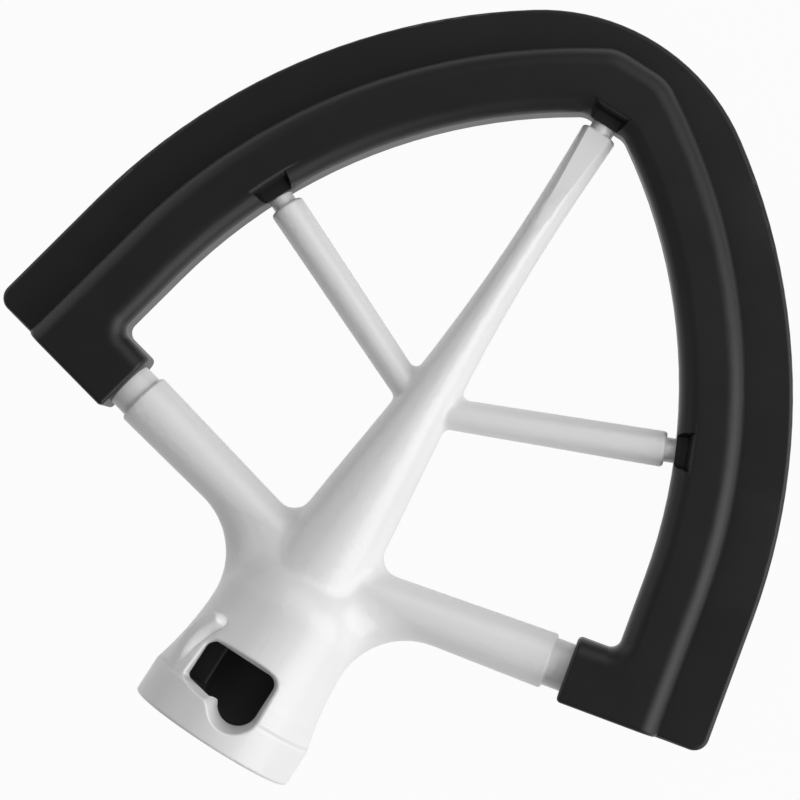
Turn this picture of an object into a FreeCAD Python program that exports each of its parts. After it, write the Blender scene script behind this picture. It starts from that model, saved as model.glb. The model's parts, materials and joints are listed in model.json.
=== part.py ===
"""Flat beater for a stand mixer: a coated cast frame with a rubber scraping edge moulded round its rim.

The beater is drawn in its own frame: X across it, Y along the drive shaft's axis from the hub's open end
to the tip, and Z out of the front, where the lock window is. Both bodies are then laid down as the beater
rests on a table: on the collar of its hub and the tip of its rubber.
"""
import FreeCAD, Part
import os
import re
from math import acos, atan2, cos, degrees, pi, radians, sin, sqrt, tan
from types import SimpleNamespace

import Sketcher
from FreeCAD import Placement, Rotation, Vector

# Driving dimensions, in millimetres and degrees. Heights are along Y from the hub's open end.
SIZES = {
    # Hub: a collar, a hollow flank up to the waist, and a domed top.
    "collar_radius": 15.1,
    "collar_height": 6.5,
    "collar_edge": 0.6,
    "collar_crease": 0.6,
    "waist_radius": 12.9,
    "waist_height": 22.0,
    "dome_radius": 9.0,
    "hub_crown": 0.5,
    # Bore for the drive shaft, and the keyway that lets the shaft's cross pin in.
    "bore_radius": 6.45,
    "bore_depth": 30.0,
    "bore_chamfer": 0.6,
    "keyway_width": 5.4,
    "keyway_reach": 11.8,
    "keyway_turn": 29.0,
    # Lock window: the pin turns through the left lobe and drops into the right one.
    # Its mouth flares from a sill.
    "window_left": 8.4,
    "window_right": 4.9,
    "window_high": 15.0,
    "window_ledge": 7.4,
    "window_low": 4.5,
    "window_lobe": 3.5,
    "window_corner": 1.8,
    "window_nose": 1.4,
    "window_floor": 3.5,
    "window_sill": 9.0,
    "window_flare": 13.0,
    "window_edge": 0.4,
    # Crescent lip left of the window: it leaves the collar upright, bends in and sinks towards the waist.
    "lip_reach": 12.2,
    "lip_width": 2.5,
    "lip_bend": 10.0,
    "lip_arc": 17.0,
    "lip_high": 18.2,
    "lip_step": 0.05,
    "lip_rise": 0.9,
    "lip_edge": 0.8,
    # Lower arms, square to the rubber's limbs.
    "arm_height": 33.0,
    "arm_lean": 12.5,
    "arm_root_width": 8.2,
    "arm_root_depth": 10.8,
    "arm_end_width": 9.7,
    "arm_end_depth": 10.0,
    "arm_sweep": 13.0,
    "arm_crotch": 3.3,
    # Spine: its width and depth at five heights, the first inside the hub and the last a gap short of the tip.
    # A flat crown, front and back, comes down from above the fourth height and is deepest at the last.
    "spine_foot": 26.0,
    "spine_foot_width": 18.0,
    "spine_foot_depth": 19.2,
    "spine_low": 44.0,
    "spine_low_width": 15.2,
    "spine_low_depth": 16.8,
    "spine_waist": 62.0,
    "spine_waist_width": 10.9,
    "spine_waist_depth": 14.0,
    "spine_high": 84.0,
    "spine_high_width": 6.8,
    "spine_high_depth": 11.2,
    "spine_gap": 1.3,
    "spine_end_width": 6.4,
    "spine_end_depth": 9.6,
    "crown_rise": 0.4,
    "crown_depth": 1.1,
    # Upper arms, which end a gap short of the rubber.
    "branch_height": 66.3,
    "branch_lean": 23.4,
    "branch_gap": 1.7,
    "branch_root_width": 5.3,
    "branch_root_depth": 8.0,
    "branch_end_width": 6.1,
    "branch_end_depth": 7.6,
    "branch_crotch": 1.2,
    # Narrow necks that carry the five arm ends into the rubber, and the rim bar inside it.
    "arm_neck_width": 8.4,
    "arm_neck_depth": 8.6,
    "branch_neck_width": 4.2,
    "branch_neck_depth": 6.0,
    "spine_neck_width": 4.3,
    "spine_neck_depth": 7.2,
    "shoulder_edge": 0.6,
    "rim_width": 4.0,
    "rim_depth": 9.4,
    "rim_tail": 3.0,
    # Rubber tube round the rim bar. Each limb stands at a place along a lower arm and is straight up to a height
    # above it. One arc then runs to the corner beside the flat tip.
    "tube_place": 63.5,
    "tube_limb": 18.9,
    "tube_width": 11.1,
    "tube_depth": 14.0,
    "tube_edge": 3.4,
    "tube_corner": 8.0,
    "tube_hollow": 3.0,
    "tube_end": 0.8,
    "tip_flat": 2.9,
    "tip_width": 12.2,
    "sleeve_length": 6.9,
    "sleeve_width": 11.5,
    "sleeve_gap": 3.2,
    "sleeve_corner": 1.8,
    # Scraping fin: how far it stands out of the tube at the limbs and at the tip, and its round tip.
    "beater_length": 140.2,
    "fin_reach": 8.5,
    "fin_lap": 4.7,
    "fin_limb": 18.5,
    "fin_tip": 37.0,
    "fin_thickness": 2.6,
    "fin_edge": 0.8,
    "fin_heel": 2.6,
    # Notches in the tube's inner flank, front and back, at the three upper necks.
    "notch_width": 4.8,
    "notch_depth": 1.9,
    "notch_floor": 4.0,
    "notch_flare": 18.0,
}

START, END, CENTRE = range(1, 4)
ORIGIN, Y_AXIS = (-START, START), -END
TOUCH = 0.01


def arc_formulas(line, end_x, end_y, end_radius):
    """Formulas for the arc of an arch line, from its straight limb to an end arc at the tip."""
    return {
        f"{line}_span_x": f"={end_x} - {line}_from_x",
        f"{line}_span_y": f"={end_y} - {line}_from_y",
        f"{line}_turn": f"=-2 * ({line}_span_x * cos(arm_lean) + {line}_span_y * sin(arm_lean) + {end_radius})",
        f"{line}_arc": f"=({line}_span_x ^ 2 + {line}_span_y ^ 2 - {end_radius} ^ 2) / {line}_turn",
        f"{line}_arc_x": f"={line}_arc * cos(arm_lean) - {line}_from_x",
        f"{line}_arc_y": f"={line}_from_y - {line}_arc * sin(arm_lean)",
    }


# Dimensions that follow from the driving ones. Each arch line's arc starts at the top of its straight limb.
FOLLOWING = {
    "hub_height": "=arm_height + hub_crown",
    "tube_top": "=beater_length - fin_lap",
    "tube_from_x": "=tube_place * cos(arm_lean) - tube_limb * sin(arm_lean)",
    "tube_from_y": "=arm_height + tube_place * sin(arm_lean) + tube_limb * cos(arm_lean)",
    **arc_formulas("tube", "tip_flat", "(tube_top - tube_corner)", "tube_corner"),
    "fin_place": "=tube_place + fin_reach",
    "fin_from_x": "=fin_place * cos(arm_lean) - fin_limb * sin(arm_lean)",
    "fin_from_y": "=arm_height + fin_place * sin(arm_lean) + fin_limb * cos(arm_lean)",
    **arc_formulas("fin", "0", "(beater_length - fin_tip)", "fin_tip"),
    "sleeve_face": "=tube_place - tube_width - sleeve_length",
    "arm_reach": "=sleeve_face - sleeve_gap",
    "spine_end": "=tube_top - tip_width - spine_gap",
    "branch_ahead": "=tube_arc_x * cos(branch_lean) + (branch_height - tube_arc_y) * sin(branch_lean)",
    "branch_aside": "=tube_arc_x ^ 2 + (branch_height - tube_arc_y) ^ 2 - branch_ahead ^ 2",
    "branch_meet": "=sqrt((tube_arc - tube_width) ^ 2 - branch_aside) - branch_ahead",
    "branch_root": "=sqrt((tube_arc - tube_width / 2) ^ 2 - branch_aside) - branch_ahead",
    "branch_reach": "=branch_meet - branch_gap",
}

doc = FreeCAD.newDocument("flat_beater")


def make_sheet():
    """Write the driving and the following dimensions into the document's sheet, one row each."""
    table = doc.addObject("Spreadsheet::Sheet", "Sizes")
    for row, (name, value) in enumerate({**SIZES, **FOLLOWING}.items(), 1):
        table.set(f"A{row}", name)
        table.set(f"B{row}", str(value))
        table.setAlias(f"B{row}", name)
    doc.recompute()
    return table


sheet = make_sheet()
size = SimpleNamespace(**{name: sheet.get(name) for name in (*SIZES, *FOLLOWING)})


def linked(formula):
    """Formula with each size's name pointed at the sheet."""
    return re.sub(r"\b[a-z]\w*_\w+\b", lambda name: f"Sizes.{name.group()}", formula)


def worth(formula):
    """Present value of a formula of sizes."""
    return float(sheet.evalExpression(formula))


def plane(body, role):
    """One of the body's own origin planes."""
    return next(item for item in body.Origin.OriginFeatures if item.Role == role)


# Places shared by both bodies: along a lower arm, across it, and on the arch.

def on_arm(along, across):
    """Point at a distance along the right lower arm's axis, and across it towards the tip."""
    lean = radians(size.arm_lean)
    x = along * cos(lean) - across * sin(lean)
    y = size.arm_height + along * sin(lean) + across * cos(lean)
    return x, y


def limb_place(arc, arc_x, arc_y):
    """Distance along the lower arm's axis at which an arch's straight limb crosses it."""
    lean = radians(size.arm_lean)
    return arc - arc_x * cos(lean) + (arc_y - size.arm_height) * sin(lean)


MIDDLE_ARC = "tube_arc - tube_width / 2"
MIDDLE_TOP = "tube_top - tip_width / 2"


class Drawing:
    """A sketch on one of its body's planes, drawn as lines and arcs with its sizes bound to the sheet."""

    def __init__(self, body, name, role="XY_Plane"):
        self.sketch = body.newObject("Sketcher::SketchObject", name)
        self.sketch.AttachmentSupport = [(plane(body, role), "")]
        self.sketch.MapMode = "FlatFace"

    def shift(self, turn_axis=None, turn=None, **moves):
        """Move the sketch's plane along its own x, y and z, and turn it about one of its axes."""
        if turn_axis is not None:
            self.sketch.AttachmentOffset = Placement(Vector(), Rotation(Vector(*turn_axis), worth(turn)))
            self.sketch.setExpression("AttachmentOffset.Rotation.Angle", f"{linked(turn)} * 1 deg")
        for axis, formula in moves.items():
            self.sketch.setExpression(f"AttachmentOffset.Base.{axis}", linked(formula))

    def line(self, start, end, construction=False):
        segment = Part.LineSegment(Vector(*start, 0), Vector(*end, 0))
        return self.sketch.addGeometry(segment, construction)

    def arc(self, centre, start, end):
        """Arc about a centre, anticlockwise from start to end."""
        first = atan2(start[1] - centre[1], start[0] - centre[0])
        last = atan2(end[1] - centre[1], end[0] - centre[0])
        if last <= first:
            last += 2 * pi
        radius = sqrt((start[0] - centre[0]) ** 2 + (start[1] - centre[1]) ** 2)
        circle = Part.Circle(Vector(*centre, 0), Vector(0, 0, 1), radius)
        return self.sketch.addGeometry(Part.ArcOfCircle(circle, first, last))

    def rule(self, kind, *items, size=None):
        """Add one constraint, bound to the sheet where it has a size."""
        if size is None:
            self.sketch.addConstraint(Sketcher.Constraint(kind, *items))
            return
        value, unit = worth(size), ""
        if kind == "Angle":
            value, unit = radians(value), " * 1 deg"
        index = self.sketch.addConstraint(Sketcher.Constraint(kind, *items, value))
        self.sketch.setExpression(f"Constraints[{index}]", f"({linked(size)}){unit}")

    def place(self, item, point, x=None, y=None):
        """Fix a point's place from the sketch's origin."""
        if x is not None:
            self.rule("DistanceX", *ORIGIN, item, point, size=x)
        if y is not None:
            self.rule("DistanceY", *ORIGIN, item, point, size=y)

    def tangent(self, first, second):
        self.rule("Tangent", *first, *second)

    def meet(self, first, second):
        self.rule("Coincident", *first, *second)

    def oval(self, width, depth):
        """Ellipse about the sketch's origin, as wide along x and as deep along y as asked."""
        across, along = worth(width) / 2, worth(depth) / 2
        if along >= across:
            ends, direction, major, minor = ((0, along), (across, 0)), "Vertical", depth, width
        else:
            ends, direction, major, minor = ((across, 0), (0, along)), "Horizontal", width, depth
        self.sketch.addGeometry(Part.Ellipse(Vector(*ends[0], 0), Vector(*ends[1], 0), Vector()))
        self.sketch.exposeInternalGeometry(0)
        self.meet((0, CENTRE), ORIGIN)
        self.rule(direction, 1)
        self.rule("Distance", 1, size=major)
        self.rule("Distance", 2, size=minor)

    def mirror(self, chain):
        """Close a right half, drawn from axis to axis, with its mirror image on the left.

        Each link of the chain is a segment with the point it starts from and the point it ends at.
        """
        images = []
        for item, first, last in chain:
            shape = self.sketch.Geometry[item]
            flip = [Vector(-p.x, p.y, 0) for p in (shape.StartPoint, shape.EndPoint)]
            if isinstance(shape, Part.LineSegment):
                images.append((self.line(flip[0][:2], flip[1][:2]), first, last))
            else:
                centre = (-shape.Center.x, shape.Center.y)
                images.append((self.arc(centre, flip[1][:2], flip[0][:2]), last, first))
                self.rule("Equal", item, images[-1][0])
        self.meet((images[0][0], images[0][1]), (chain[0][0], chain[0][1]))
        for before, after in zip(images, images[1:]):
            self.meet((before[0], before[2]), (after[0], after[1]))
        for (item, first, _), (image, image_first, _) in zip(chain[1:], images[1:]):
            self.rule("Symmetric", item, first, image, image_first, Y_AXIS)
        self.meet((images[-1][0], images[-1][2]), (chain[-1][0], chain[-1][2]))


def sharp_edges(shape, wanted):
    """Names of the edges where two faces meet at an angle and whose middle passes the test."""
    sides = {}
    for face in shape.Faces:
        for edge in face.Edges:
            sides.setdefault(edge.hashCode(), []).append(face)
    names = []
    for number, edge in enumerate(shape.Edges, 1):
        faces = sides[edge.hashCode()]
        middle = edge.valueAt((edge.FirstParameter + edge.LastParameter) / 2)
        if len(faces) != 2 or not wanted(middle):
            continue
        first, second = (face.normalAt(*face.Surface.parameter(middle)) for face in faces)
        if degrees(acos(max(-1, min(1, first.dot(second))))) > 8:
            names.append(f"Edge{number}")
    return names


def round_edges(body, name, radius, wanted):
    """Fillet the sharp edges that pass the test."""
    doc.recompute()
    base = body.Tip
    fillet = body.newObject("PartDesign::Fillet", name)
    fillet.Base = (base, sharp_edges(base.Shape, wanted))
    fillet.setExpression("Radius", linked(radius))
    doc.recompute()
    return fillet


def bevel_edges(body, name, width, wanted):
    """Chamfer the sharp edges that pass the test."""
    doc.recompute()
    base = body.Tip
    chamfer = body.newObject("PartDesign::Chamfer", name)
    chamfer.Base = (base, sharp_edges(base.Shape, wanted))
    chamfer.setExpression("Size", linked(width))
    doc.recompute()
    return chamfer


def join(body, name, *pieces):
    """Fuse bodies that were drawn apart into this one."""
    feature = body.newObject("PartDesign::Boolean", name)
    feature.Type = "Fuse"
    feature.setObjects(list(pieces))
    doc.recompute()
    return feature


def loft(body, name, sections, ruled=False):
    feature = body.newObject("PartDesign::AdditiveLoft", name)
    feature.Profile = sections[0]
    feature.Sections = sections[1:]
    feature.Ruled = ruled
    return feature


def pad(body, name, drawing, length, symmetric=False, reverse=False):
    feature = body.newObject("PartDesign::Pad", name)
    feature.Profile = drawing.sketch
    feature.setExpression("Length", linked(length))
    feature.SideType = "Symmetric" if symmetric else "One side"
    feature.Reversed = reverse
    return feature


def pocket(body, name, drawing, length=None, reverse=False, flare=None):
    """Cut the drawing's outline to a depth, or through everything on that side, and widen it by a flare."""
    feature = body.newObject("PartDesign::Pocket", name)
    feature.Profile = drawing.sketch
    feature.Type = "Length" if length else "ThroughAll"
    if length:
        feature.setExpression("Length", linked(length))
    if flare:
        feature.setExpression("TaperAngle", linked(flare))
    feature.Reversed = reverse
    return feature


def mirrored(body, name, features, role):
    doc.recompute()
    feature = body.newObject("PartDesign::Mirrored", name)
    feature.Originals = features
    feature.MirrorPlane = (plane(body, role), [""])
    body.Tip = feature
    doc.recompute()
    return feature


# Arch outlines, used for the rubber's tube and fin and for the rim bar.

def arch_side(draw, foot, apex, arc, arc_x, arc_y, corner=None):
    """Right half of one arch line from the axis: the tip, the side arc and the straight limb.

    The tip is one arc about the axis, or a flat with a corner arc. Returns the chain down to the limb,
    which is drawn to its foot across the lower arm but has its lower end left free.
    """
    top, radius = worth(apex), worth(arc)
    x, y = worth(arc_x), worth(arc_y)
    lean = radians(size.arm_lean)
    touch = (radius * cos(lean) - x, y + radius * sin(lean))
    if corner is None:
        tip = (radius ** 2 - x ** 2 - (top - y) ** 2) / (2 * (radius - top + y))
        centre = (0, top - tip)
    else:
        tip = worth(corner)
        centre = (sqrt((radius - tip) ** 2 - (top - tip - y) ** 2) - x, top - tip)
    direction = atan2(centre[1] - y, centre[0] + x)
    joint = (radius * cos(direction) - x, y + radius * sin(direction))
    crown = (centre[0], top)

    tip_arc = draw.arc(centre, joint, crown)
    side_arc = draw.arc((-x, y), touch, joint)
    limb = draw.line(touch, on_arm(limb_place(radius, x, y), foot))
    chain = [(tip_arc, END, START), (side_arc, END, START), (limb, START, END)]
    if corner is None:
        draw.rule("PointOnObject", tip_arc, CENTRE, Y_AXIS)
        draw.rule("PointOnObject", tip_arc, END, Y_AXIS)
    else:
        flat = draw.line((0, top), crown)
        draw.rule("PointOnObject", flat, START, Y_AXIS)
        draw.rule("Horizontal", flat)
        draw.tangent((flat, END), (tip_arc, END))
        draw.rule("Radius", tip_arc, size=corner)
        chain.insert(0, (flat, START, END))
    first, point, _ = chain[0]
    draw.place(first, point, y=apex)
    draw.tangent((tip_arc, START), (side_arc, END))
    draw.place(side_arc, CENTRE, x=f"-{arc_x}", y=arc_y)
    draw.rule("Radius", side_arc, size=arc)
    draw.tangent((side_arc, START), (limb, START))
    draw.rule("Angle", limb, size="arm_lean - 90")
    return chain


def inner_side(draw, *line):
    """The same line for the inside of an arch, from the limb up to the axis."""
    chain = arch_side(draw, *line)
    return [(item, last, first) for item, first, last in reversed(chain)]


def arm_axis(draw):
    """Construction line along the right lower arm's axis."""
    axis = draw.line(on_arm(0, 0), on_arm(size.arm_reach, 0), construction=True)
    draw.rule("PointOnObject", axis, START, Y_AXIS)
    draw.place(axis, START, y="arm_height")
    draw.rule("Angle", axis, size="arm_lean")
    draw.rule("Distance", axis, size="arm_reach")
    return axis


def tail_line(draw, start, end, axis, distance):
    """Line that closes an arch's lower end, along the lower arm at a distance under its axis."""
    line = draw.line(start, end)
    draw.rule("Parallel", line, axis)
    draw.rule("Distance", line, START, axis, size=distance)
    return line


# Sub-part: the cast frame.

def hub_profile(body):
    """Half section of the hub, turned about the shaft's axis."""
    draw = Drawing(body, "hub_profile")
    collar, edge, crease = size.collar_radius, size.collar_edge, size.collar_crease
    waist = (size.waist_radius, size.waist_height)
    crown = (size.waist_radius - size.dome_radius, size.hub_height)
    shoulder = (size.waist_radius, size.hub_height - size.dome_radius)
    turn = (collar - crease, size.collar_height)
    step = waist[0] - turn[0]
    rise = waist[1] - turn[1]
    hollow = (step ** 2 + rise ** 2 - crease ** 2) / (2 * (crease - step))
    share = crease / (crease + hollow)
    touch = (turn[0] + (step + hollow) * share, turn[1] + rise * share)

    base = draw.line((0, 0), (collar - edge, 0))
    foot = draw.arc((collar - edge, edge), (collar - edge, 0), (collar, edge))
    wall = draw.line((collar, edge), (collar, size.collar_height))
    bend = draw.arc(turn, (collar, size.collar_height), touch)
    flank = draw.arc((waist[0] + hollow, waist[1]), waist, touch)
    neck = draw.line(waist, shoulder)
    dome = draw.arc((crown[0], shoulder[1]), shoulder, crown)
    roof = draw.line(crown, (0, size.hub_height))
    axis = draw.line((0, size.hub_height), (0, 0))

    draw.meet((base, START), ORIGIN)
    draw.rule("Horizontal", base)
    draw.tangent((base, END), (foot, START))
    draw.tangent((foot, END), (wall, START))
    draw.rule("Vertical", wall)
    draw.tangent((wall, END), (bend, START))
    draw.tangent((bend, END), (flank, END))
    draw.tangent((flank, START), (neck, START))
    draw.rule("Vertical", neck)
    draw.tangent((neck, END), (dome, START))
    draw.tangent((dome, END), (roof, START))
    draw.rule("Horizontal", roof)
    draw.meet((roof, END), (axis, START))
    draw.rule("Vertical", axis)
    draw.meet((axis, END), (base, START))
    draw.rule("Radius", foot, size="collar_edge")
    draw.rule("Radius", bend, size="collar_crease")
    draw.place(wall, END, x="collar_radius", y="collar_height")
    draw.place(neck, START, x="waist_radius", y="waist_height")
    draw.rule("Radius", dome, size="dome_radius")
    draw.place(roof, END, y="hub_height")
    return draw


def spine_section(body, name, height, width, depth):
    """Oval across the spine at a height."""
    draw = Drawing(body, name, "XZ_Plane")
    draw.shift(z=f"-{height}")
    draw.oval(width, depth)
    return draw


def crown_outline(body):
    """Side view of the wedge that flattens the front of the upper spine."""
    draw = Drawing(body, "crown_outline", "YZ_Plane")
    low, high = size.spine_high, size.spine_end
    start, far = size.spine_high_depth / 2 + size.crown_rise, size.spine_high_depth
    corners = [(low, start), (high, size.spine_end_depth / 2 - size.crown_depth), (high, far), (low, far)]
    sides = [draw.line(corners[n], corners[(n + 1) % 4]) for n in range(4)]
    for before, after in zip(sides, sides[1:] + sides[:1]):
        draw.meet((before, END), (after, START))
    for side, direction in zip(sides[1:], ("Vertical", "Horizontal", "Vertical")):
        draw.rule(direction, side)
    draw.place(sides[0], START, x="spine_high", y="spine_high_depth / 2 + crown_rise")
    draw.place(sides[0], END, x="spine_end", y="spine_end_depth / 2 - crown_depth")
    draw.place(sides[2], END, y="spine_high_depth")
    return draw


def arm_section(body, name, height, lean, reach, width, depth):
    """Oval square to an arm's axis, at a distance from the middle of the beater."""
    draw = Drawing(body, name, "YZ_Plane")
    draw.shift((0, 1, 0), lean, x=f"{height} + ({reach}) * sin({lean})", z=f"({reach}) * cos({lean})")
    draw.oval(width, depth)
    return draw


def arm_root(body, name, height, lean, width, depth):
    """Oval on the beater's middle plane, where an arm meets its opposite."""
    draw = Drawing(body, name, "YZ_Plane")
    draw.shift(x=height)
    draw.oval(f"{width} / cos({lean})", depth)
    return draw


def rim_outline(body):
    """Band along the middle of the rubber's tube."""
    draw = Drawing(body, "rim_outline")
    outer_arc, inner_arc = (f"{MIDDLE_ARC} {sign} rim_width / 2" for sign in "+-")
    outer_top, inner_top = (f"{MIDDLE_TOP} {sign} rim_width / 2" for sign in "+-")
    axis = arm_axis(draw)
    outer = arch_side(draw, -size.rim_tail, outer_top, outer_arc, "tube_arc_x", "tube_arc_y")
    inner = inner_side(draw, -size.rim_tail, inner_top, inner_arc, "tube_arc_x", "tube_arc_y")
    ends = [on_arm(limb_place(worth(arc), size.tube_arc_x, size.tube_arc_y), -size.rim_tail)
            for arc in (outer_arc, inner_arc)]
    tail = tail_line(draw, *ends, axis, "rim_tail")
    draw.meet((outer[-1][0], END), (tail, START))
    draw.meet((tail, END), (inner[0][0], END))
    draw.mirror(outer + [(tail, START, END)] + inner)
    return draw


def keyway_outline(body):
    """Slot across the hub's open end, from its axis out past the bore."""
    draw = Drawing(body, "keyway_outline", "XZ_Plane")
    draw.shift((0, 0, 1), "keyway_turn")
    half, reach = size.keyway_width / 2, size.keyway_reach
    corners = [(-half, 0), (half, 0), (half, reach), (-half, reach)]
    sides = [draw.line(corners[n], corners[(n + 1) % 4]) for n in range(4)]
    for before, after in zip(sides, sides[1:] + sides[:1]):
        draw.meet((before, END), (after, START))
    draw.rule("Symmetric", sides[0], START, sides[0], END, *ORIGIN)
    draw.rule("Horizontal", sides[0])
    draw.rule("Vertical", sides[1])
    draw.rule("Horizontal", sides[2])
    draw.rule("Vertical", sides[3])
    draw.rule("Distance", sides[0], size="keyway_width")
    draw.place(sides[2], START, y="keyway_reach")
    return draw


def bore_outline(body):
    draw = Drawing(body, "bore_outline", "XZ_Plane")
    circle = draw.sketch.addGeometry(Part.Circle(Vector(), Vector(0, 0, 1), size.bore_radius))
    draw.meet((circle, CENTRE), ORIGIN)
    draw.rule("Radius", circle, size="bore_radius")
    return draw


def window_outline(body):
    """The lock window seen from the front: a left lobe on a ledge and a round right lobe."""
    draw = Drawing(body, "window_outline")
    draw.shift(z="window_sill")
    left, right, corner = -size.window_left, size.window_right, size.window_corner
    high, ledge, low, nose = size.window_high, size.window_ledge, size.window_low, size.window_nose
    lobe = size.window_lobe
    lobe_centre = (right - lobe, low + lobe)
    nose_run = sqrt((lobe + nose) ** 2 - (lobe_centre[1] - ledge + nose) ** 2)
    nose_centre = (lobe_centre[0] - nose_run, ledge - nose)
    share = lobe / (lobe + nose)
    touch = tuple(a + (b - a) * share for a, b in zip(lobe_centre, nose_centre))

    top = draw.line((left + corner, high), (right - corner, high))
    top_right = draw.arc((right - corner, high - corner), (right, high - corner), (right - corner, high))
    side = draw.line((right, high - corner), (right, lobe_centre[1]))
    bowl = draw.arc(lobe_centre, touch, (right, lobe_centre[1]))
    nose_arc = draw.arc(nose_centre, touch, (nose_centre[0], ledge))
    shelf = draw.line((nose_centre[0], ledge), (left + corner / 2, ledge))
    inset = corner / 2
    low_left = draw.arc((left + inset, ledge + inset), (left, ledge + inset), (left + inset, ledge))
    back = draw.line((left, ledge + corner / 2), (left, high - corner))
    top_left = draw.arc((left + corner, high - corner), (left + corner, high), (left, high - corner))

    draw.tangent((top, END), (top_right, END))
    draw.tangent((top_right, START), (side, START))
    draw.tangent((side, END), (bowl, END))
    draw.tangent((bowl, START), (nose_arc, START))
    draw.tangent((nose_arc, END), (shelf, START))
    draw.tangent((shelf, END), (low_left, END))
    draw.tangent((low_left, START), (back, START))
    draw.tangent((back, END), (top_left, END))
    draw.tangent((top_left, START), (top, START))
    draw.rule("Horizontal", top)
    draw.rule("Vertical", side)
    draw.rule("Horizontal", shelf)
    draw.rule("Vertical", back)
    draw.rule("Radius", top_right, size="window_corner")
    draw.rule("Radius", top_left, size="window_corner")
    draw.rule("Radius", low_left, size="window_corner / 2")
    draw.rule("Radius", bowl, size="window_lobe")
    draw.rule("Radius", nose_arc, size="window_nose")
    draw.place(top, END, y="window_high")
    draw.place(side, START, x="window_right")
    draw.place(side, END, y="window_low + window_lobe")
    draw.place(shelf, END, y="window_ledge")
    draw.place(back, START, x="-window_left")
    return draw


def lip_outline(body):
    """Front view of the lip: a band that runs up from inside the collar and bends in to a round tip."""
    draw = Drawing(body, "lip_outline")
    draw.shift(z="window_floor")
    left, right = -size.lip_reach, size.lip_width - size.lip_reach
    low, bend, half = size.collar_height - size.collar_crease, size.lip_bend, size.lip_width / 2
    centre = (size.lip_arc - size.lip_reach, bend)
    middle = size.lip_arc - half
    rise = size.lip_high - bend
    run = sqrt(middle ** 2 - rise ** 2)
    tip = (centre[0] - run, size.lip_high)
    step = (half * run / middle, half * rise / middle)
    outer_end = (tip[0] - step[0], tip[1] + step[1])
    inner_end = (tip[0] + step[0], tip[1] - step[1])

    outside = draw.line((left, low), (left, bend))
    outer = draw.arc(centre, outer_end, (left, bend))
    cap = draw.arc(tip, inner_end, outer_end)
    inner = draw.arc(centre, inner_end, (right, bend))
    inside = draw.line((right, bend), (right, low))
    base = draw.line((right, low), (left, low))
    draw.rule("Vertical", outside)
    draw.rule("Vertical", inside)
    draw.tangent((outside, END), (outer, END))
    draw.tangent((outer, START), (cap, END))
    draw.tangent((cap, START), (inner, START))
    draw.tangent((inner, END), (inside, START))
    draw.meet((inner, CENTRE), (outer, CENTRE))
    draw.meet((inside, END), (base, START))
    draw.meet((base, END), (outside, START))
    draw.rule("Horizontal", base)
    draw.place(outside, START, x="-lip_reach", y="collar_height - collar_crease")
    draw.place(outside, END, y="lip_bend")
    draw.rule("Distance", base, size="lip_width")
    draw.rule("Radius", outer, size="lip_arc")
    draw.place(cap, CENTRE, y="lip_high")
    return draw


def lip_trim(body):
    """Half section of the ring outside the lip, which leans in from the collar to the lip's tip."""
    draw = Drawing(body, "lip_trim")
    low, high = size.collar_height - size.collar_crease, size.lip_high + size.lip_width
    outer = 2 * size.collar_radius
    corners = [(size.collar_radius - size.lip_step, low), (outer, low), (outer, high),
               (size.waist_radius + size.lip_rise, high)]
    sides = [draw.line(corners[n], corners[(n + 1) % 4]) for n in range(4)]
    for before, after in zip(sides, sides[1:] + sides[:1]):
        draw.meet((before, END), (after, START))
    for side, direction in zip(sides, ("Horizontal", "Vertical", "Horizontal")):
        draw.rule(direction, side)
    draw.place(sides[0], START, x="collar_radius - lip_step", y="collar_height - collar_crease")
    draw.place(sides[1], END, x="2 * collar_radius", y="lip_high + lip_width")
    draw.place(sides[3], START, x="waist_radius + lip_rise")
    return draw


def on_lip_face(point):
    """Whether a point lies on the lip's leaning face above its base."""
    low, high = size.collar_height - size.collar_crease, size.lip_high + size.lip_width
    share = (point.y - low) / (high - low)
    first, last = size.collar_radius - size.lip_step, size.waist_radius + size.lip_rise
    face = first + (last - first) * share
    return point.y - low > TOUCH > abs(sqrt(point.x ** 2 + point.z ** 2) - face)


def make_lip():
    body = doc.addObject("PartDesign::Body", "lip_body")
    pad(body, "lip", lip_outline(body), "collar_radius")
    ring = body.newObject("PartDesign::Groove", "lip_face")
    ring.Profile = lip_trim(body).sketch
    ring.ReferenceAxis = (ring.Profile[0], ["V_Axis"])
    ring.Angle = 360
    round_edges(body, "lip_edges", "lip_edge", on_lip_face)
    return body


def make_rim():
    body = doc.addObject("PartDesign::Body", "rim_body")
    pad(body, "rim", rim_outline(body), "rim_depth", symmetric=True)
    doc.recompute()
    return body


def on_shoulder(point):
    """Whether a point lies on the outline of an arm's end face or of the spine's."""
    crown = size.spine_end_depth / 2 - size.crown_depth
    if abs(point.y - size.spine_end) < TOUCH and abs(abs(point.z) - crown) < TOUCH:
        return True
    ends = (
        (size.arm_height, size.arm_lean, size.arm_reach, size.arm_end_width, size.arm_end_depth),
        (size.branch_height, size.branch_lean, size.branch_reach, size.branch_end_width, size.branch_end_depth),
        (0, degrees(pi / 2), size.spine_end, size.spine_end_width, size.spine_end_depth),
    )
    for height, lean, reach, width, depth in ends:
        turn = radians(lean)
        along = abs(point.x) * cos(turn) + (point.y - height) * sin(turn)
        across = (point.y - height) * cos(turn) - abs(point.x) * sin(turn)
        oval = (2 * across / width) ** 2 + (2 * point.z / depth) ** 2
        if abs(along - reach) < TOUCH and abs(oval - 1) < TOUCH:
            return True
    return False


def on_mouth(point):
    """Whether a point lies on the rim of the bore's open end."""
    return abs(point.y) < TOUCH and abs(sqrt(point.x ** 2 + point.z ** 2) - size.bore_radius) < TOUCH


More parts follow.
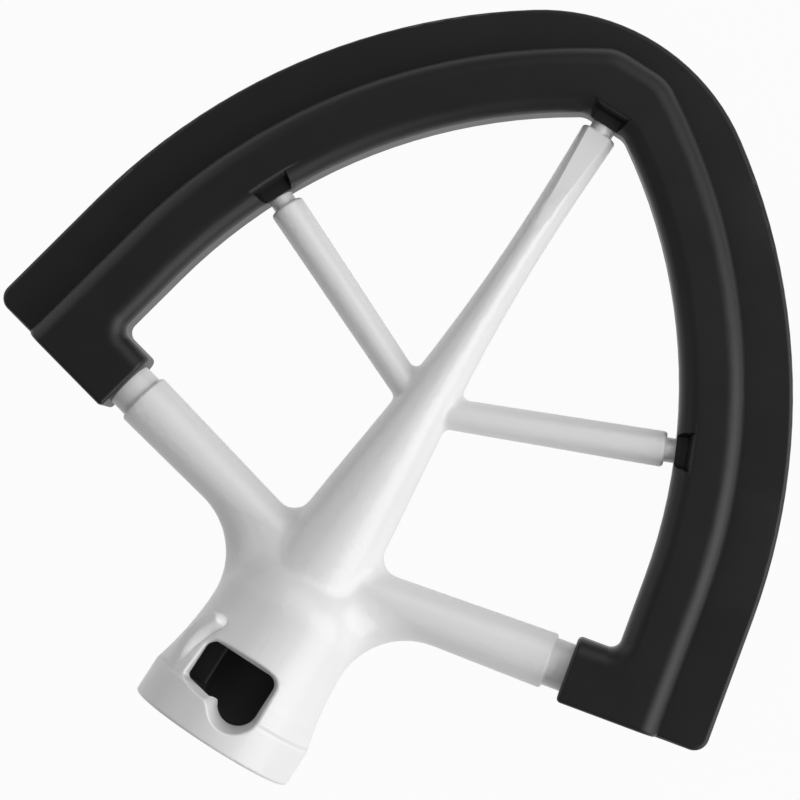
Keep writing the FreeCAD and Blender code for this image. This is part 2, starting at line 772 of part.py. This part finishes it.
def on_window_edge(point):
    """Whether a point lies where the window's flared walls break out through the hub's outside."""
    spread = (point.z - size.window_sill) * tan(radians(size.window_flare)) + TOUCH
    across = -size.window_left - spread < point.x < size.window_right + spread
    along = size.window_low - spread < point.y < size.window_high + spread
    on_outside = sqrt(point.x ** 2 + point.z ** 2) > size.waist_radius - TOUCH
    return across and along and on_outside and point.z > size.window_sill + TOUCH


def make_frame():
    body = doc.addObject("PartDesign::Body", "beater_frame")

    hub = body.newObject("PartDesign::Revolution", "hub")
    hub.Profile = hub_profile(body).sketch
    hub.ReferenceAxis = (hub.Profile[0], ["V_Axis"])
    hub.Angle = 360
    window = window_outline(body)
    pocket(body, "window", window, "window_sill - window_floor")
    pocket(body, "window_mouth", window, "collar_radius", reverse=True, flare="window_flare")
    round_edges(body, "window_edge", "window_edge", on_window_edge)

    root = arm_root(body, "arm_root", "arm_height", "arm_lean", "arm_root_width", "arm_root_depth")
    place = ("arm_height", "arm_lean", "arm_reach")
    end = arm_section(body, "arm_end", *place, "arm_end_width", "arm_end_depth")
    arm = loft(body, "arm", [root.sketch, end.sketch], ruled=True)
    neck = arm_section(body, "arm_neck_section", *place, "arm_neck_width", "arm_neck_depth")
    arm_neck = pad(body, "arm_neck", neck, "tube_place - tube_width / 2 - arm_reach")
    mirrored(body, "left_arm", [arm, arm_neck], "YZ_Plane")
    round_edges(body, "arm_sweep", "arm_sweep",
                lambda p: abs(p.x) < size.waist_radius + size.arm_root_width and p.y > size.window_high + TOUCH)

    stations = ("foot", "low", "waist", "high", "end")
    sections = [spine_section(body, f"spine_{n}", f"spine_{n}", f"spine_{n}_width", f"spine_{n}_depth")
                for n in stations]
    loft(body, "spine", [section.sketch for section in sections])
    round_edges(body, "arm_crotch", "arm_crotch",
                lambda p: abs(p.x) < size.spine_foot_width and size.spine_foot < p.y < size.spine_waist)

    crown = pocket(body, "crown", crown_outline(body), "spine_foot_width")
    crown.SideType = "Symmetric"
    mirrored(body, "back_crown", [crown], "XY_Plane")

    root = arm_root(body, "branch_root", "branch_height", "branch_lean",
                    "branch_root_width", "branch_root_depth")
    place = ("branch_height", "branch_lean", "branch_reach")
    end = arm_section(body, "branch_end", *place, "branch_end_width", "branch_end_depth")
    branch = loft(body, "branch", [root.sketch, end.sketch], ruled=True)
    neck = arm_section(body, "branch_neck_section", *place, "branch_neck_width", "branch_neck_depth")
    branch_neck = pad(body, "branch_neck", neck, "branch_root - branch_reach")
    mirrored(body, "left_branch", [branch, branch_neck], "YZ_Plane")
    round_edges(body, "branch_crotch", "branch_crotch",
                lambda p: abs(p.x) < size.spine_waist_width and size.spine_waist < p.y < size.spine_high)

    neck = spine_section(body, "spine_neck_section", "spine_end", "spine_neck_width", "spine_neck_depth")
    pad(body, "spine_neck", neck, f"{MIDDLE_TOP} - spine_end", reverse=True)
    round_edges(body, "shoulders", "shoulder_edge", on_shoulder)

    join(body, "rim_and_lip", make_rim(), make_lip())

    pocket(body, "bore", bore_outline(body), "bore_depth")
    bevel_edges(body, "bore_chamfer", "bore_chamfer", on_mouth)
    pocket(body, "keyway", keyway_outline(body), "window_high")
    doc.recompute()
    return body


# Sub-part: the rubber.

def tube_outline(body):
    """Front view of the tube with the sleeves that reach in over the lower necks."""
    draw = Drawing(body, "tube_outline")
    axis = arm_axis(draw)
    inner_arc = "tube_arc - tube_width"
    centre = (size.tube_arc_x, size.tube_arc_y)
    outer_place = limb_place(size.tube_arc, *centre)
    inner_place = limb_place(worth(inner_arc), *centre)
    face = size.sleeve_face
    half, corner = size.sleeve_width / 2, size.sleeve_corner

    outer = arch_side(draw, -half, "tube_top", "tube_arc", "tube_arc_x", "tube_arc_y", "tube_corner")
    inner = inner_side(draw, half + corner, "tube_top - tip_width", inner_arc, "tube_arc_x", "tube_arc_y",
                       "tube_hollow")
    bottom = tail_line(draw, on_arm(outer_place, -half), on_arm(face, -half), axis, "sleeve_width / 2")
    mouth = draw.line(on_arm(face, -half), on_arm(face, half))
    top = tail_line(draw, on_arm(face, half), on_arm(inner_place - corner, half), axis, "sleeve_width / 2")
    hollow = draw.arc(on_arm(inner_place - corner, half + corner), on_arm(inner_place - corner, half),
                      on_arm(inner_place, half + corner))

    draw.meet((outer[-1][0], END), (bottom, START))
    draw.meet((bottom, END), (mouth, START))
    draw.rule("Perpendicular", mouth, axis)
    draw.rule("Distance", axis, START, mouth, size="sleeve_face")
    draw.meet((mouth, END), (top, START))
    draw.tangent((top, END), (hollow, START))
    draw.rule("Radius", hollow, size="sleeve_corner")
    draw.tangent((hollow, END), (inner[0][0], END))
    links = [(bottom, START, END), (mouth, START, END), (top, START, END), (hollow, START, END)]
    draw.mirror(outer + links + inner)
    return draw


def fin_outline(body):
    """Front view of the scraping fin, from its free edge in to the middle of the tube."""
    draw = Drawing(body, "fin_outline")
    axis = arm_axis(draw)
    half, heel = size.sleeve_width / 2, size.fin_heel
    outer_place = limb_place(size.fin_arc, size.fin_arc_x, size.fin_arc_y)
    inner_place = limb_place(worth(MIDDLE_ARC), size.tube_arc_x, size.tube_arc_y)
    outer = arch_side(draw, heel - half, "beater_length", "fin_arc", "fin_arc_x", "fin_arc_y")
    inner = inner_side(draw, -half, MIDDLE_TOP, MIDDLE_ARC, "tube_arc_x", "tube_arc_y")
    round_end = draw.arc(on_arm(outer_place - heel, heel - half), on_arm(outer_place - heel, -half),
                         on_arm(outer_place, heel - half))
    bottom = tail_line(draw, on_arm(outer_place - heel, -half), on_arm(inner_place, -half), axis,
                       "sleeve_width / 2")
    draw.rule("Radius", round_end, size="fin_heel")
    draw.tangent((outer[-1][0], END), (round_end, END))
    draw.tangent((round_end, START), (bottom, START))
    draw.meet((bottom, END), (inner[0][0], END))
    draw.mirror(outer + [(round_end, END, START), (bottom, START, END)] + inner)
    return draw


def notch_outline(body, name, start, floor, lean=None, height=None):
    """Rectangle across the tube's inner flank, on a floor in front of or behind a neck.

    It lies along an upper arm's axis where a lean and a height are given, and along the spine otherwise.
    """
    draw = Drawing(body, name)
    draw.shift((0, 0, 1), lean or "90", x="0", y=height or "0", z=floor)
    near, far = worth(f"{start} - notch_depth"), worth(f"{start} + notch_depth")
    half = size.notch_width / 2
    corners = [(near, -half), (far, -half), (far, half), (near, half)]
    sides = [draw.line(corners[n], corners[(n + 1) % 4]) for n in range(4)]
    for before, after in zip(sides, sides[1:] + sides[:1]):
        draw.meet((before, END), (after, START))
    draw.rule("Horizontal", sides[0])
    draw.rule("Vertical", sides[1])
    draw.rule("Horizontal", sides[2])
    draw.rule("Vertical", sides[3])
    draw.place(sides[0], START, x=f"{start} - notch_depth", y="-notch_width / 2")
    draw.place(sides[1], END, x=f"{start} + notch_depth", y="notch_width / 2")
    return draw


def cut_notches(body):
    """Notches at the spine's neck and the two upper arms' necks, front and back."""
    for side, floor, reverse in (("front", "notch_floor", True), ("back", "-notch_floor", False)):
        draw = notch_outline(body, f"{side}_tip_outline", "(tube_top - tip_width)", floor)
        pocket(body, f"{side}_tip_notch", draw, reverse=reverse, flare="notch_flare")
        draw = notch_outline(body, f"{side}_side_outline", "branch_meet", floor, "branch_lean", "branch_height")
        notch = pocket(body, f"{side}_side_notch", draw, reverse=reverse, flare="notch_flare")
        mirrored(body, f"{side}_left_notch", [notch], "YZ_Plane")


def make_rubber(frame):
    """Tube and fin drawn apart, joined, and hollowed by the frame that they are moulded on."""
    tube = doc.addObject("PartDesign::Body", "tube_body")
    pad(tube, "tube", tube_outline(tube), "tube_depth", symmetric=True)
    half, face = size.tube_depth / 2, size.sleeve_face
    lean = radians(size.arm_lean)

    def across(point):
        return (point.y - size.arm_height) * cos(lean) - abs(point.x) * sin(lean)

    def along(point):
        return abs(point.x) * cos(lean) + (point.y - size.arm_height) * sin(lean)

    def on_crown_edge(point):
        at_bottom = abs(across(point) + size.sleeve_width / 2) < TOUCH
        at_mouth = abs(along(point) - face) < TOUCH and abs(across(point)) < size.sleeve_width / 2
        return abs(abs(point.z) - half) < TOUCH and not at_bottom and not at_mouth

    def on_end_edge(point):
        at_bottom = abs(across(point) + size.sleeve_width / 2) < TOUCH
        return at_bottom or abs(along(point) - face) < TOUCH

    round_edges(tube, "tube_edges", "tube_edge", on_crown_edge)
    round_edges(tube, "tube_ends", "tube_end", on_end_edge)
    cut_notches(tube)

    fin = doc.addObject("PartDesign::Body", "fin_body")
    pad(fin, "fin", fin_outline(fin), "fin_thickness", symmetric=True)
    middle = (size.tube_arc_x, size.tube_arc_y)

    def on_free_edge(point):
        outside = sqrt((abs(point.x) + middle[0]) ** 2 + (point.y - middle[1]) ** 2) > size.tube_arc
        beyond = along(point) > limb_place(size.tube_arc, *middle)
        return (outside or beyond or point.y > size.tube_top) and across(point) > TOUCH - size.sleeve_width / 2

    round_edges(fin, "fin_edges", "fin_edge", on_free_edge)

    blank = doc.addObject("Part::Fuse", "scraper_blank")
    blank.Base = tube
    blank.Tool = fin
    edge = doc.addObject("Part::Cut", "scraper_edge")
    edge.Base = blank
    edge.Tool = frame
    return [tube, fin], edge


def lay_down(bodies):
    """Turn the bodies about X until the hub's collar and the rubber's tip both touch the table.

    The table is then at height zero, with the middle of the beater's box over the origin.
    """
    drop = "(collar_radius - tube_depth / 2)"
    run = "(tube_top - tube_edge - collar_height)"
    tilt = f"atan({drop} / {run})"
    far = f"(beater_length - fin_edge) * cos({tilt}) + (fin_thickness / 2 - fin_edge) * sin({tilt}) + fin_edge"
    near = f"collar_edge * cos({tilt}) - (collar_radius - collar_edge) * sin({tilt}) - collar_edge"
    for body in bodies:
        lie = degrees(atan2(worth(drop), worth(run)))
        body.Placement = Placement(Vector(), Rotation(Vector(-1, 0, 0), lie))
        body.setExpression("Placement.Rotation.Angle", linked(tilt))
        body.setExpression("Placement.Base.y", linked(f"-({far} + {near}) / 2"))
        rise = f"collar_height * sin({tilt}) + collar_radius * cos({tilt})"
        body.setExpression("Placement.Base.z", linked(rise))


def write_parts(nodes):
    """Check the whole document, then write each sub-part to a file named after it."""
    doc.recompute()
    for item in doc.Objects:
        if "Invalid" in item.State or "Error" in item.State:
            raise RuntimeError(f"{item.Name} failed: {item.State}")
    for node in nodes:
        if node.Shape.isNull() or not node.Shape.isValid():
            raise RuntimeError(f"{node.Label} has no valid shape")
    os.makedirs("parts", exist_ok=True)
    for node in nodes:
        node.Shape.exportStep(f"parts/{node.Label}.step")


beater_frame = make_frame()
rubber_bodies, scraper_edge = make_rubber(beater_frame)
lay_down([beater_frame, *rubber_bodies])
write_parts([beater_frame, scraper_edge])
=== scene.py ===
"""A flat beater for a stand mixer, lying on a pale table with its lock window up.

Both CAD pieces are shown as one skin each: the coated casting and the rubber edge moulded round its rim.
Lengths are in metres. The beater's own directions come from its shaft bore: along the shaft to the tip,
across the beater, and out of the side with the lock window.
"""
import json
from math import cos, radians, sin

import bmesh
import bpy
from mathutils import Matrix, Vector


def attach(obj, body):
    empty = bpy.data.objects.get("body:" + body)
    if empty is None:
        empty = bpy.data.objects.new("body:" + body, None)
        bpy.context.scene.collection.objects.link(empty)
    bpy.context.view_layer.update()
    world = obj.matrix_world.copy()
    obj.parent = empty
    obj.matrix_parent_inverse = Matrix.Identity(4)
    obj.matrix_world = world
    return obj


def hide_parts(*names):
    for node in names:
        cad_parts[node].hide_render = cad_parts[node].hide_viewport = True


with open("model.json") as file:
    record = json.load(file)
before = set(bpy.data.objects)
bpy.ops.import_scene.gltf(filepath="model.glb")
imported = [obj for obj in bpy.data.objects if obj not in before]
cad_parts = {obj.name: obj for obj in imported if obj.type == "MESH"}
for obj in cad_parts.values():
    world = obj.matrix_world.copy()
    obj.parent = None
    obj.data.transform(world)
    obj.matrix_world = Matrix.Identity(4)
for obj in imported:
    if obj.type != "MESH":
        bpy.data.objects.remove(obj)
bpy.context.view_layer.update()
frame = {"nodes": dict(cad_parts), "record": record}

MM = 0.001

# The beater's own frame, read from the mount that the drive shaft enters.
shaft_bore = next(mount for mount in frame["record"]["mounts"] if mount["name"] == "shaft_bore")
MOUTH = Vector(shaft_bore["pos_m"])
ALONG = -Vector(shaft_bore["axis"]).normalized()
ACROSS = Vector((1, 0, 0))
OUTWARD = ACROSS.cross(ALONG)
BORE_RADIUS = shaft_bore["dims"]["r_mm"] * MM

# Hub sizes: the collar, the hollow flank from the collar to the waist, the lock window and the bore.
COLLAR_RADIUS = 15.1 * MM
COLLAR_HEIGHT = 6.5 * MM
WAIST_RADIUS = 12.9 * MM
WAIST_HEIGHT = 22 * MM
FLANK_RADIUS = 53 * MM
WINDOW_TOP = 17 * MM
WINDOW_SILL = 9.1 * MM
BORE_BOTTOM = 30.5 * MM

# How deep below the hub's surface the lock window's painted shade begins and its coating ends, and the
# radius about the shaft within which the bore's wall is painted as shade.
WINDOW_SHADE_DEPTH = 0.6 * MM
BORE_SHADE_RADIUS = BORE_RADIUS * 1.06

# Relief of the coating: a fine ripple, and a step at the collar's upper edge with a hollow above it.
RIPPLE_HEIGHT = 0.012 * MM
COLLAR_RELIEF = 0.3 * MM
COLLAR_STEP = 0.5 * MM
COLLAR_HOLLOW = 3 * MM

# Depth of the rubber's pores.
PORE_DEPTH = 0.01 * MM

# The crescent lip: its limits toward the tip and the window, and how many times its CAD height it stands.
LIP_REACH = 20 * MM
LIP_SIDE = -7 * MM
LIP_GAIN = 2.5

# Angles in degrees from which an edge stays a hard crease, on the casting and on the rubber.
CASTING_CREASE = 32
RUBBER_CREASE = 70

# The fin's narrow rim lies within this distance of the beater's middle plane.
FIN_RIM = 1.25 * MM

# Points of a CAD mesh that are nearer than this are one point.
MERGE_GAP = 0.002 * MM

# The table: half its side, its grey in lamp light, and how white it looks when it is seen.
TABLE_HALF = 3.0
TABLE_GREY = (0.36, 0.36, 0.36, 1)
TABLE_WHITENESS = 0.96

# Light from all round, and the place in millimetres on the beater that the lamps are aimed at.
WHITE = (1, 1, 1, 1)
AIR_STRENGTH = 0.25
BEATER_MIDDLE = (0, 66)

# The lamps: place in millimetres on the beater, width and height in metres, and power in watts.
LAMPS = {
    "right_box": ((560, 150, 300), 0.9, 0.55, 4.0),
    "left_box": ((-560, 60, 260), 0.4, 0.5, 0.6),
    "tip_box": ((60, 516, 400), 0.5, 0.5, 0.8),
}

# The camera: its lean and roll in degrees, what it aims at in millimetres on the beater, and its view.
CAMERA_LEAN = 3.7
CAMERA_ROLL = 32.78
CAMERA_AIM = (-4.05, 65.0)
CAMERA_DISTANCE = 0.65
SEEN_WIDTH = 0.136
SENSOR_MM = 36


def on_beater(across, along, outward=0.0):
    """Point given in the beater's own directions, in millimetres from the bore's mouth."""
    return MOUTH + (ACROSS * across + ALONG * along + OUTWARD * outward) * MM


def flank_radius(below_waist):
    """Radius of the hub's hollow flank at a depth below the waist, as a number or a socket's value."""
    return WAIST_RADIUS + below_waist * below_waist * (0.5 / FLANK_RADIUS)


class Value:
    """A node's output, on which arithmetic adds Math nodes."""

    def __init__(self, finish, socket):
        self.finish = finish
        self.socket = socket

    def math(self, operation, *others):
        sockets = dict(enumerate((self, *others)))
        return self.finish.node("ShaderNodeMath", {"operation": operation}, sockets)

    def __add__(self, other):
        return self.math("ADD", other)

    __radd__ = __add__

    def __mul__(self, other):
        return self.math("MULTIPLY", other)

    __rmul__ = __mul__

    def __sub__(self, other):
        return self.math("SUBTRACT", other)

    def __rsub__(self, other):
        return (self * -1.0) + other

    def __lt__(self, other):
        return self.math("LESS_THAN", other)

    def __gt__(self, other):
        return self.math("GREATER_THAN", other)

    def at_least(self, other):
        return self.math("MAXIMUM", other)

    def at_most(self, other):
        return self.math("MINIMUM", other)


class Finish:
    """A material's node tree, with one method that adds any node."""

    def __init__(self, name):
        self.material = bpy.data.materials.new(name)
        self.material.use_nodes = True
        self.tree = self.material.node_tree
        self.shader = self.tree.nodes["Principled BSDF"]

    def node(self, kind, settings=None, sockets=None, output=0):
        """Add a node, set it, feed its sockets with values or links, and return one of its outputs."""
        made = self.tree.nodes.new(kind)
        for name, setting in (settings or {}).items():
            setattr(made, name, setting)
        for name, given in (sockets or {}).items():
            self.feed(made.inputs[name], given)
        return Value(self, made.outputs[output])

    def feed(self, socket, given):
        if isinstance(given, Value):
            self.tree.links.new(given.socket, socket)
        else:
            socket.default_value = given

    def set(self, **sockets):
        """Feed the shader's sockets, named with underscores for spaces."""
        for name, given in sockets.items():
            self.feed(self.shader.inputs[name.replace("_", " ")], given)

    def places(self):
        return self.node("ShaderNodeTexCoord", output="Object")

    def vector(self, operation, *parts, output="Vector"):
        return self.node("ShaderNodeVectorMath", {"operation": operation}, dict(enumerate(parts)), output)

    def grain(self, period, detail):
        """Noise with features about as far apart as the period."""
        sockets = {"Vector": self.places(), "Scale": 1 / period, "Detail": detail}
        return self.node("ShaderNodeTexNoise", sockets=sockets, output="Fac")

    def bump(self, height):
        """Normal of a surface with a height in metres."""
        return self.node("ShaderNodeBump", sockets={"Height": height, "Distance": 1.0}, output="Normal")

    def blend(self, share, first, second):
        """Colour between two, by a share from 0 to 1."""
        sockets = {"Factor": share, "A": first, "B": second}
        return self.node("ShaderNodeMix", {"data_type": "RGBA"}, sockets, "Result")


def coated_casting():
    """Gloss white coating; inside the lock window and the bore, where shade falls, it gives way to a
    near-black painted shade with no clear coat.
    """
    finish = Finish("white_coating")
    white = (0.86, 0.86, 0.857, 1)
    shade = (0.82, 0.821, 0.82, 1)
    # Painted shade: near-black for the lock window's hollow and dark grey for the bore, standing for the
    # shade in them.
    window_shade = (0.012, 0.012, 0.013, 1)
    bore = (0.06, 0.06, 0.062, 1)

    offset = finish.vector("SUBTRACT", finish.places(), MOUTH)
    along = finish.vector("DOT_PRODUCT", offset, ALONG, output="Value")
    outward = finish.vector("DOT_PRODUCT", offset, OUTWARD, output="Value")
    aside = finish.vector("SUBTRACT", offset, finish.vector("PROJECT", offset, ALONG))
    radius = finish.vector("LENGTH", aside, output="Value")

    # Where the window's painted shade begins, below the hub's surface.
    flank = flank_radius((WAIST_HEIGHT - along).at_least(0.0))
    shade_start_radius = flank.at_most(COLLAR_RADIUS) - WINDOW_SHADE_DEPTH
    in_window = (radius < shade_start_radius) * (along < WINDOW_TOP) * (outward < WINDOW_SILL)
    in_bore = (radius < BORE_SHADE_RADIUS) * (along < BORE_BOTTOM)
    inside = in_window.at_least(in_bore) * (along > 0.0)

    cloud = finish.grain(period=14 * MM, detail=2.0)
    ripple = finish.grain(period=1.6 * MM, detail=1.0)
    step = (COLLAR_HEIGHT + COLLAR_STEP - along) * (1 / COLLAR_STEP)
    hollow = (along - COLLAR_HEIGHT - COLLAR_STEP) * (1 / COLLAR_HOLLOW)
    shoulder = step.at_least(hollow).at_least(inside).at_most(1.0)

    coat = finish.blend(cloud, white, shade)
    # The window and bore are painted dark as shade in place of the white coating.
    recess_shade = finish.blend(in_bore, window_shade, bore)
    coat_roughness = 0.33
    cloud_roughness = 0.1
    recess_roughness = 0.22
    clear_coat = 0.3
    finish.set(Base_Color=finish.blend(inside, coat, recess_shade))
    finish.set(Roughness=coat_roughness + cloud * cloud_roughness + inside * recess_roughness)
    finish.set(Coat_Weight=(1 - inside) * clear_coat)
    finish.set(Coat_Roughness=0.2)
    finish.set(Normal=finish.bump(ripple * RIPPLE_HEIGHT + shoulder * COLLAR_RELIEF))
    return finish.material


def moulded_rubber():
    """Black rubber with a fine moulded grain and a soft sheen."""
    finish = Finish("black_rubber")
    deep = (0.003, 0.003, 0.0033, 1)
    worn = (0.006, 0.006, 0.0064, 1)
    cloud = finish.grain(period=9 * MM, detail=4.0)
    pores = finish.grain(period=0.28 * MM, detail=2.0)
    rubber_roughness = 0.37
    cloud_roughness = 0.1
    pore_roughness = 0.06
    finish.set(Base_Color=finish.blend(cloud, deep, worn))
    finish.set(Roughness=rubber_roughness + cloud * cloud_roughness + pores * pore_roughness)
    finish.set(Specular_IOR_Level=0.45)
    finish.set(Normal=finish.bump(pores * PORE_DEPTH))
    return finish.material


def raise_lip(work):
    """Lift the crescent lip further off the hub's flank, where the real one stands bolder."""
    for vertex in work.verts:
        offset = vertex.co - MOUTH
        height = offset.dot(ALONG)
        beside_window = offset.dot(ACROSS) <= LIP_SIDE and offset.dot(OUTWARD) >= 0
        if not (beside_window and COLLAR_HEIGHT < height < LIP_REACH):
            continue
        ray = offset - ALONG * height
        rise = ray.length - flank_radius(WAIST_HEIGHT - height)
        if rise > 0:
            vertex.co += ray.normalized() * rise * (LIP_GAIN - 1)


def skin_over(node, material, crease, rim=0.0, reshape=None):
    """Show a CAD node as one smooth skin with its hard creases kept.

    Broad faces are shaded flat up to their rounded edges. Points nearer to the beater's middle plane than
    the rim are left out of that, because a narrow rim has no broad faces.
    """
    mesh = frame["nodes"][node].data.copy()
    work = bmesh.new()
    work.from_mesh(mesh)
    bmesh.ops.remove_doubles(work, verts=work.verts, dist=MERGE_GAP)
    if reshape:
        reshape(work)
    for face in work.faces:
        face.smooth = True
    for edge in work.edges:
        edge.smooth = edge.calc_face_angle(0) < radians(crease)
    work.to_mesh(mesh)
    work.free()
    mesh.materials.clear()
    mesh.materials.append(material)
    piece = bpy.data.objects.new(f"{node}_skin", mesh)
    bpy.context.scene.collection.objects.link(piece)

    depths = [abs((vertex.co - MOUTH).dot(OUTWARD)) for vertex in mesh.vertices]
    broad = piece.vertex_groups.new(name="broad_faces")
    broad.add([number for number, depth in enumerate(depths) if depth >= rim], 1.0, "REPLACE")
    level = piece.modifiers.new("flat_faces", "WEIGHTED_NORMAL")
    level.vertex_group = broad.name
    level.mode = "FACE_AREA"
    level.keep_sharp = True

    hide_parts(node)
    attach(piece, "root")


def pale_table():
    """Floor that looks white to the camera and in reflections, with a faint shadow left on it."""
    finish = Finish("pale_table")
    finish.set(Base_Color=TABLE_GREY, Roughness=0.9, Specular_IOR_Level=0.1)
    rays = ("Camera", "Glossy", "Transmission")
    camera, glossy, through = [finish.node("ShaderNodeLightPath", output=f"Is {ray} Ray") for ray in rays]
    seen = camera.at_least(glossy).at_least(through)
    lit = Value(finish, finish.shader.outputs[0])
    white = finish.node("ShaderNodeEmission", sockets={"Color": WHITE, "Strength": 1.0})
    floor = finish.node("ShaderNodeMixShader", sockets={0: seen * TABLE_WHITENESS, 1: lit, 2: white})
    finish.feed(finish.tree.nodes["Material Output"].inputs["Surface"], floor)

    signs = ((-1, -1), (1, -1), (1, 1), (-1, 1))
    corners = [(x * TABLE_HALF, y * TABLE_HALF, 0) for x, y in signs]
    mesh = bpy.data.meshes.new("table")
    mesh.from_pydata(corners, [], [(0, 1, 2, 3)])
    mesh.materials.append(finish.material)
    table = bpy.data.objects.new("table", mesh)
    bpy.context.scene.collection.objects.link(table)


def studio_air():
    """Even light from all round."""
    world = bpy.data.worlds.new("studio_air")
    world.use_nodes = True
    background = world.node_tree.nodes["Background"]
    background.inputs["Color"].default_value = WHITE
    background.inputs["Strength"].default_value = AIR_STRENGTH
    bpy.context.scene.world = world


def soft_box(name, place, width, height, power):
    """Lamp aimed at the middle of the beater, with its height upright."""
    lamp = bpy.data.lights.new(name, "AREA")
    lamp.shape = "RECTANGLE"
    lamp.size = width
    lamp.size_y = height
    lamp.energy = power
    holder = bpy.data.objects.new(name, lamp)
    holder.location = place
    holder.rotation_euler = (on_beater(*BEATER_MIDDLE) - place).to_track_quat("-Z", "Y").to_euler()
    bpy.context.scene.collection.objects.link(holder)


def photo_camera():
    """Camera nearly square to the beater's face, rolled so that the hub points to the lower left."""
    lean = radians(CAMERA_LEAN)
    roll = radians(CAMERA_ROLL)
    toward = OUTWARD * cos(lean) + ACROSS * sin(lean)
    aside = ACROSS * cos(lean) - OUTWARD * sin(lean)
    right = aside * cos(roll) + ALONG * sin(roll)
    up = ALONG * cos(roll) - aside * sin(roll)
    camera = bpy.data.cameras.new("photo_camera")
    camera.sensor_width = SENSOR_MM
    camera.lens = SENSOR_MM * CAMERA_DISTANCE / SEEN_WIDTH
    holder = bpy.data.objects.new("photo_camera", camera)
    turn = Matrix((right, up, toward)).transposed()
    place = on_beater(*CAMERA_AIM) + toward * CAMERA_DISTANCE
    holder.matrix_world = Matrix.Translation(place) @ turn.to_4x4()
    bpy.context.scene.collection.objects.link(holder)
    bpy.context.scene.camera = holder


skin_over("beater_frame", coated_casting(), CASTING_CREASE, reshape=raise_lip)
skin_over("scraper_edge", moulded_rubber(), RUBBER_CREASE, rim=FIN_RIM)

pale_table()
studio_air()
for lamp_name, (lamp_place, lamp_width, lamp_height, lamp_power) in LAMPS.items():
    soft_box(lamp_name, on_beater(*lamp_place), lamp_width, lamp_height, lamp_power)
photo_camera()
bpy.context.scene.view_settings.view_transform = "Standard"
